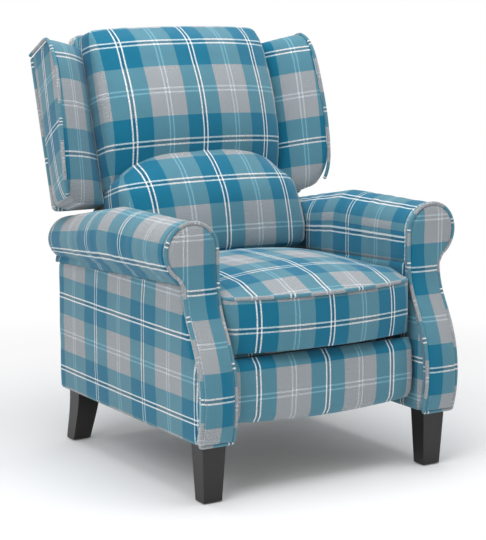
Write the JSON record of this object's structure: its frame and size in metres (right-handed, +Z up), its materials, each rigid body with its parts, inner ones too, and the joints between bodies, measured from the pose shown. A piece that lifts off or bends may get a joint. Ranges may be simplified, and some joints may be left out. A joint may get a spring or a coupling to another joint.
{
  "type": "wingback recliner",
  "caption": "Push-back recliner with wings, rolled arms, crowned seat, lumbar and head cushions, folding footrest and tapered legs in a teal and grey check.",
  "frame": {"origin": "on the floor, under the middle of the closed chair's outline", "axes": "X across the chair, +Y towards the back, so the chair faces -Y, and +Z up"},
  "size_m": [0.8158, 0.855, 1.0554],
  "materials": {
    "check_fabric": "woven check in teal and grey",
    "piping_fabric": "woven cord edging",
    "dark_wood": "near-black lacquer",
    "frame_wood": "planed, unfinished",
    "steel": "black powder coat",
    "fastener_steel": "zinc plated",
    "glide_plastic": "matt"
  },
  "bodies": {
    "base": {"arm_outer_panel_right": "check_fabric", "arm_outer_panel_left": "check_fabric", "arm_inner_panel_right": "check_fabric", "arm_inner_panel_left": "check_fabric", "arm_roll_right": "check_fabric", "arm_roll_left": "check_fabric", "arm_facing_right": "check_fabric", "arm_facing_left": "check_fabric", "facing_piping_right": "piping_fabric", "facing_piping_left": "piping_fabric", "arm_front_post_right": "frame_wood", "arm_front_post_left": "frame_wood", "arm_rear_post_right": "frame_wood", "arm_rear_post_left": "frame_wood", "arm_top_rail_right": "frame_wood", "arm_top_rail_left": "frame_wood", "arm_sill_right": "frame_wood", "arm_sill_left": "frame_wood", "front_leg_right": "dark_wood", "front_leg_left": "dark_wood", "rear_leg_right": "dark_wood", "rear_leg_left": "dark_wood", "base_plate_right": "steel", "base_plate_left": "steel", "leg_bolts": "fastener_steel", "leg_glides": "glide_plastic", "base_screws": "fastener_steel", "base_pivot_pins": "fastener_steel", "front_stretcher": "frame_wood", "rear_apron": "check_fabric"},
    "front_swing": {"front_swing_links": "steel", "swing_torsion_tube": "steel"},
    "rear_swing": {"rear_swing_links": "steel"},
    "seat": {"seat_side_rail_right": "frame_wood", "seat_side_rail_left": "frame_wood", "seat_plates": "steel", "seat_pivot_pins": "fastener_steel", "seat_front_rail": "frame_wood", "seat_rear_rail": "frame_wood", "seat_springs": "fastener_steel", "seat_cushion": "check_fabric", "seat_border": "check_fabric", "seat_piping": "piping_fabric"},
    "backrest": {"back_post_right": "frame_wood", "back_post_left": "frame_wood", "wing_right": "check_fabric", "wing_left": "check_fabric", "wing_piping_right": "piping_fabric", "wing_piping_left": "piping_fabric", "back_top_rail": "frame_wood", "back_lower_rail": "frame_wood", "outside_back": "check_fabric", "upper_cushion": "check_fabric", "lumbar_cushion": "check_fabric"},
    "ottoman_rear_arms": {"ottoman_rear_links": "steel", "ottoman_cross_tube": "steel"},
    "ottoman_front_arms": {"ottoman_front_links": "steel"},
    "footrest": {"footrest_brackets": "steel", "footrest_board": "frame_wood", "footrest_pad": "check_fabric"}
  },
  "joints": [
    {"name": "seat_swing", "type": "hinge", "parent": "base", "child": "front_swing", "pos_m": [0, -0.22112, 0.235], "axis": [1, 0, 0], "range_deg": [0, 52]},
    {"name": "rear_link_swing", "type": "hinge", "parent": "base", "child": "rear_swing", "pos_m": [0, 0.04888, 0.235], "axis": [1, 0, 0], "range_deg": [0, 52]},
    {"name": "seat_level", "type": "hinge", "parent": "front_swing", "child": "seat", "pos_m": [0, -0.12692, 0.30096], "axis": [-1, 0, 0], "range_deg": [0, 52]},
    {"name": "back_recline", "type": "hinge", "parent": "seat", "child": "backrest", "pos_m": [0, 0.22123, 0.44179], "axis": [-1, 0, 0], "range_deg": [0, 20]},
    {"name": "ottoman_swing", "type": "hinge", "parent": "seat", "child": "ottoman_rear_arms", "pos_m": [0, -0.25112, 0.31], "axis": [-1, 0, 0], "range_deg": [0, 63]},
    {"name": "ottoman_elbow", "type": "hinge", "parent": "ottoman_rear_arms", "child": "ottoman_front_arms", "pos_m": [0, -0.28231, 0.16328], "axis": [1, 0, 0], "range_deg": [0, 126]},
    {"name": "footrest_turn", "type": "hinge", "parent": "ottoman_front_arms", "child": "footrest", "pos_m": [0, -0.31349, 0.31], "axis": [-1, 0, 0], "range_deg": [0, 150]}
  ],
  "couplings": [
    {"joint": "rear_link_swing", "follows": "seat_swing", "ratio": 1},
    {"joint": "seat_level", "follows": "seat_swing", "ratio": 1},
    {"joint": "back_recline", "follows": "seat_swing", "ratio": 0.38462},
    {"joint": "ottoman_swing", "follows": "seat_swing", "ratio": 1.2115},
    {"joint": "ottoman_elbow", "follows": "seat_swing", "ratio": 2.4231},
    {"joint": "footrest_turn", "follows": "seat_swing", "ratio": 2.8846}
  ]
}
